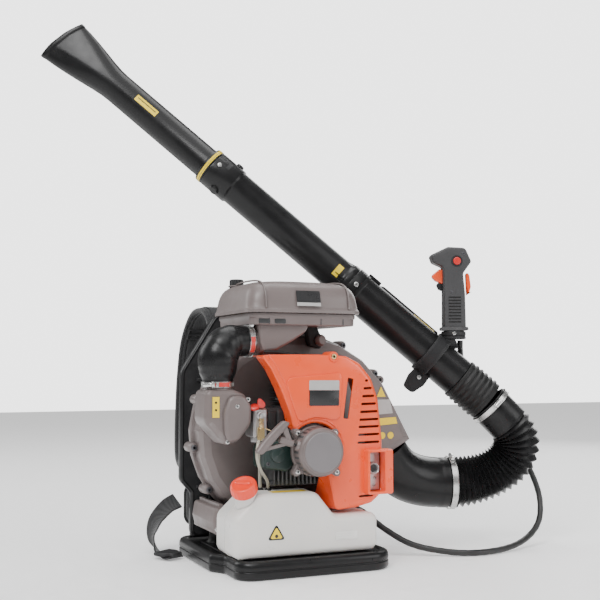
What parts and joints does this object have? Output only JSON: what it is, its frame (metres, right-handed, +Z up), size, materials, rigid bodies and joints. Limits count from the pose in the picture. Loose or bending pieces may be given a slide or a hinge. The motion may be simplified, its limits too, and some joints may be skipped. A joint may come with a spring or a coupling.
{
  "type": "backpack leaf blower",
  "caption": "Backpack leaf blower: engine and fan housing on a tray base with a harness, and a swinging blower tube with a handle on a corrugated hose.",
  "frame": {"origin": "centre of the base's underside, on the ground", "axes": "+Z up, +X to the operator's right where the blower tube is, +Y towards the operator's back"},
  "size_m": [0.895, 0.4808, 1.0065],
  "materials": {
    "orange_plastic": "glossy moulded",
    "orange_cap": "glossy moulded",
    "grey_housing": "satin moulded",
    "starter_grey": "satin moulded",
    "gloss_black": "glossy moulded",
    "matte_black": "matt moulded",
    "dark_plastic": "matt moulded",
    "black_rubber": "satin rubber",
    "grip_grey": "fine-grained",
    "tank_white": "translucent blow-moulded",
    "fuel_line": "clear flexible tube",
    "steel": "bright",
    "cast_alloy": "die cast",
    "harness_fabric": "padded mesh",
    "webbing": "woven",
    "red_plastic": "glossy moulded",
    "filter_foam": "open foam",
    "plug_ceramic": "glazed",
    "cable_black": "satin sheath"
  },
  "bodies": {
    "machine": {"base_tray": "gloss_black", "back_frame": "matte_black", "back_pad": "harness_fabric", "lumbar_pad": "harness_fabric", "shoulder_strap_left": "harness_fabric", "shoulder_strap_right": "harness_fabric", "waist_belt_left": "webbing", "waist_belt_right": "webbing", "volute_front": "grey_housing", "volute_rear": "grey_housing", "intake_grille": "matte_black", "support_bracket": "grey_housing", "rubber_mount_left": "black_rubber", "rubber_mount_right": "black_rubber", "crankcase": "cast_alloy", "bearing_front": "steel", "bearing_rear": "steel", "cylinder": "cast_alloy", "piston": "cast_alloy", "connecting_rod": "steel", "spark_plug": "plug_ceramic", "plug_boot": "black_rubber", "ignition_coil": "matte_black", "muffler": "steel", "insulator": "matte_black", "carburettor": "cast_alloy", "air_box": "grey_housing", "intake_elbow": "black_rubber", "filter_tray": "grey_housing", "filter_element": "filter_foam", "engine_cover": "orange_plastic", "starter_housing": "starter_grey", "starter_rope": "webbing", "fuel_tank": "tank_white", "fuel_line": "fuel_line", "outlet_elbow": "gloss_black", "flex_hose": "black_rubber", "hose_clamp_lower": "steel", "throttle_cable": "cable_black"},
    "fan_shaft": {"crankshaft": "steel", "flywheel": "cast_alloy", "impeller": "dark_plastic"},
    "starter_grip": {"starter_grip": "grip_grey"},
    "starter_pulley": {"starter_pulley": "matte_black"},
    "fuel_cap": {"fuel_cap": "orange_cap"},
    "filter_cover": {"filter_cover": "grey_housing"},
    "filter_knob": {"filter_knob": "grey_housing"},
    "choke_lever": {"choke_lever": "red_plastic"},
    "throttle_lever": {"throttle_lever": "steel"},
    "wand": {"cuff_clamp": "steel", "ribbed_sleeve": "black_rubber", "pipe_1": "gloss_black", "handle_clamp": "matte_black", "grip_near": "grip_grey", "grip_far": "grip_grey"},
    "pipe_2": {"pipe_2": "gloss_black"},
    "nozzle": {"nozzle": "gloss_black"},
    "trigger": {"trigger": "orange_plastic"},
    "cruise_lever": {"cruise_lever": "orange_plastic"},
    "stop_switch": {"stop_switch": "red_plastic"}
  },
  "joints": [
    {"name": "fan_spin", "type": "hinge", "parent": "machine", "child": "fan_shaft", "pos_m": [0.012, 0, 0.196], "axis": [0, 1, 0], "continuous": true},
    {"name": "starter_pull", "type": "slide", "parent": "machine", "child": "starter_grip", "axis": [-0.9551, -0.06, 0.29], "range_m": [0, 0.6], "stiffness_N_per_m": 15, "springref_m": -0.4, "deforming": ["starter_rope"]},
    {"name": "starter_pulley_spin", "type": "hinge", "parent": "machine", "child": "starter_pulley", "pos_m": [0.012, -0.138, 0.196], "axis": [0, 1, 0], "range_deg": [0, 1440]},
    {"name": "fuel_cap_turn", "type": "hinge", "parent": "machine", "child": "fuel_cap", "pos_m": [-0.1075, -0.1115, 0.132], "axis": [-0.3404, -0.4205, 0.841], "range_deg": [0, 720]},
    {"name": "filter_cover_lift", "type": "slide", "parent": "machine", "child": "filter_cover", "axis": [0, 0, 1], "range_m": [0, 0.08]},
    {"name": "filter_knob_turn", "type": "hinge", "parent": "filter_cover", "child": "filter_knob", "pos_m": [-0.066, 0.048, 0.48], "axis": [0, 0, 1], "range_deg": [0, 1440]},
    {"name": "choke_turn", "type": "hinge", "parent": "machine", "child": "choke_lever", "pos_m": [-0.073, -0.092, 0.27], "axis": [0, 1, 0], "range_deg": [0, 60]},
    {"name": "throttle_turn", "type": "hinge", "parent": "machine", "child": "throttle_lever", "pos_m": [-0.073, -0.091, 0.231], "axis": [0, -1, 0], "range_deg": [0, 60], "stiffness_Nm_per_rad": 0.02, "springref_deg": -17.19},
    {"name": "tube_swing", "type": "hinge", "parent": "machine", "child": "wand", "pos_m": [0.4512, -0.0294, 0.15], "axis": [0.3987, 0.9171, 0], "range_deg": [0, 100], "deforming": ["flex_hose", "throttle_cable"]},
    {"name": "pipe_joint_turn", "type": "hinge", "parent": "wand", "child": "pipe_2", "pos_m": [0.173, 0.08399, 0.49003], "axis": [-0.6966, 0.3029, 0.6504], "range_deg": [0, 30]},
    {"name": "nozzle_turn", "type": "hinge", "parent": "pipe_2", "child": "nozzle", "pos_m": [-0.06524, 0.18759, 0.71247], "axis": [-0.6966, 0.3029, 0.6504], "range_deg": [0, 30]},
    {"name": "trigger_squeeze", "type": "hinge", "parent": "wand", "child": "trigger", "pos_m": [0.34123, 0.01085, 0.513], "axis": [-0.3987, -0.9171, 0], "range_deg": [0, 18], "stiffness_Nm_per_rad": 0.4, "springref_deg": -11.46},
    {"name": "cruise_turn", "type": "hinge", "parent": "wand", "child": "cruise_lever", "pos_m": [0.3802, -0.00609, 0.511], "axis": [-0.3987, -0.9171, 0], "range_deg": [0, 35]},
    {"name": "stop_press", "type": "slide", "parent": "wand", "child": "stop_switch", "axis": [0.3987, 0.9171, 0], "range_m": [0, 0.003], "stiffness_N_per_m": 600, "springref_m": -0.004}
  ],
  "couplings": [
    {"joint": "starter_pulley_spin", "follows": "starter_pull", "rad_per_m": 41.667},
    {"joint": "throttle_turn", "follows": "trigger_squeeze", "ratio": 3.3}
  ]
}
